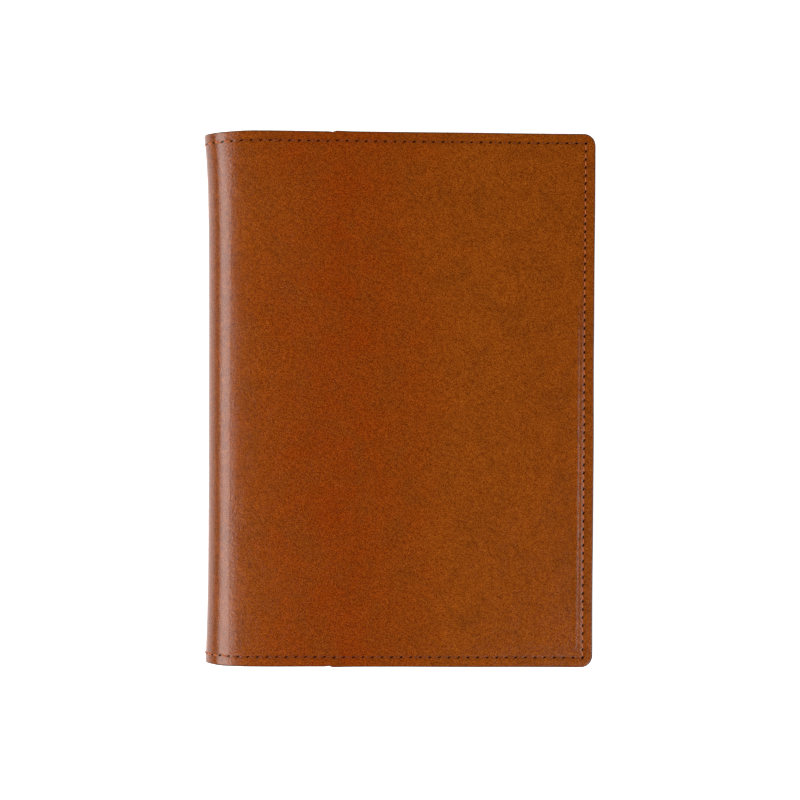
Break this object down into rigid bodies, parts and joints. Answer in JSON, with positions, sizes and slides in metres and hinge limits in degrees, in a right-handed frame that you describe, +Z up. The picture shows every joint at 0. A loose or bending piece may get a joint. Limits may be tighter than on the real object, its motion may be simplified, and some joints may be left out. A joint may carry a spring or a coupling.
{
  "type": "notebook cover",
  "caption": "Stitched leather notebook cover with a round spine, closed round a sewn notebook held in two inside pockets; it opens flat",
  "frame": {"origin": "middle of the base, where the back panel lies, at the centre of the closed cover's outline", "axes": "+X runs from the spine to the fore-edge, +Y to the head of the book, +Z up through the closed cover; the book lies closed on its back panel"},
  "size_m": [0.16, 0.22, 0.0204],
  "materials": {
    "glazed_leather": "glossy, fine-grained and hand-shaded, with dark burnished edges",
    "lining_leather": "smooth matt lining",
    "notebook_card": "matt card with a fine cloth grain",
    "waxed_thread": "waxed and twisted",
    "paper": "uncoated cream paper"
  },
  "bodies": {
    "back_cover": {"shell_back": "glazed_leather", "lining_back": "lining_leather", "pocket_back": "glazed_leather", "notebook_cover_back": "notebook_card", "needle_thread_back": "waxed_thread", "bobbin_thread_back": "waxed_thread"},
    "spine": {"shell_spine": "glazed_leather", "lining_spine": "lining_leather", "notebook_cover_spine": "notebook_card", "needle_thread_spine": "waxed_thread", "bobbin_thread_spine": "waxed_thread"},
    "front_cover": {"shell_front": "glazed_leather", "lining_front": "lining_leather", "pocket_front": "glazed_leather", "notebook_cover_front": "notebook_card", "needle_thread_front": "waxed_thread", "bobbin_thread_front": "waxed_thread"},
    "section_1": {"section_1": "paper"},
    "section_2": {"section_2": "paper"},
    "section_3": {"section_3": "paper"},
    "section_4": {"section_4": "paper"},
    "section_5": {"section_5": "paper"},
    "section_6": {"section_6": "paper"},
    "section_7": {"section_7": "paper"},
    "section_8": {"section_8": "paper"}
  },
  "joints": [
    {"name": "front_fold", "type": "hinge", "parent": "spine", "child": "front_cover", "pos_m": [-0.0769, 0, 0.01752], "axis": [0, -1, 0], "range_deg": [0, 90.6]},
    {"name": "back_fold", "type": "hinge", "parent": "back_cover", "child": "spine", "pos_m": [-0.07705, 0, 0.00303], "axis": [0, -1, 0], "range_deg": [0, 90.6]},
    {"name": "section_1_shift", "type": "slide", "parent": "back_cover", "child": "section_1", "axis": [-1, 0, 0], "range_m": [0, 0.00132]},
    {"name": "section_2_shift", "type": "slide", "parent": "back_cover", "child": "section_2", "axis": [-1, 0, 0], "range_m": [0, 0.00401]},
    {"name": "section_3_shift", "type": "slide", "parent": "back_cover", "child": "section_3", "axis": [-1, 0, 0], "range_m": [0, 0.00767]},
    {"name": "section_4_shift", "type": "slide", "parent": "back_cover", "child": "section_4", "axis": [-1, 0, 0], "range_m": [0, 0.01215]},
    {"name": "section_5_shift", "type": "slide", "parent": "front_cover", "child": "section_5", "axis": [-0.9998, 0, 0.0209], "range_m": [0, 0.01215]},
    {"name": "section_6_shift", "type": "slide", "parent": "front_cover", "child": "section_6", "axis": [-0.9998, 0, 0.0209], "range_m": [0, 0.00767]},
    {"name": "section_7_shift", "type": "slide", "parent": "front_cover", "child": "section_7", "axis": [-0.9998, 0, 0.0209], "range_m": [0, 0.00401]},
    {"name": "section_8_shift", "type": "slide", "parent": "front_cover", "child": "section_8", "axis": [-0.9998, 0, 0.0209], "range_m": [0, 0.00132]}
  ],
  "couplings": [
    {"joint": "back_fold", "follows": "front_fold", "ratio": 1},
    {"joint": "section_1_shift", "follows": "front_fold", "m_per_rad": 0.00083615},
    {"joint": "section_2_shift", "follows": "front_fold", "m_per_rad": 0.0025347},
    {"joint": "section_3_shift", "follows": "front_fold", "m_per_rad": 0.0048493},
    {"joint": "section_4_shift", "follows": "front_fold", "m_per_rad": 0.0076839},
    {"joint": "section_5_shift", "follows": "front_fold", "m_per_rad": 0.0076839},
    {"joint": "section_6_shift", "follows": "front_fold", "m_per_rad": 0.0048493},
    {"joint": "section_7_shift", "follows": "front_fold", "m_per_rad": 0.0025347},
    {"joint": "section_8_shift", "follows": "front_fold", "m_per_rad": 0.00083615}
  ]
}
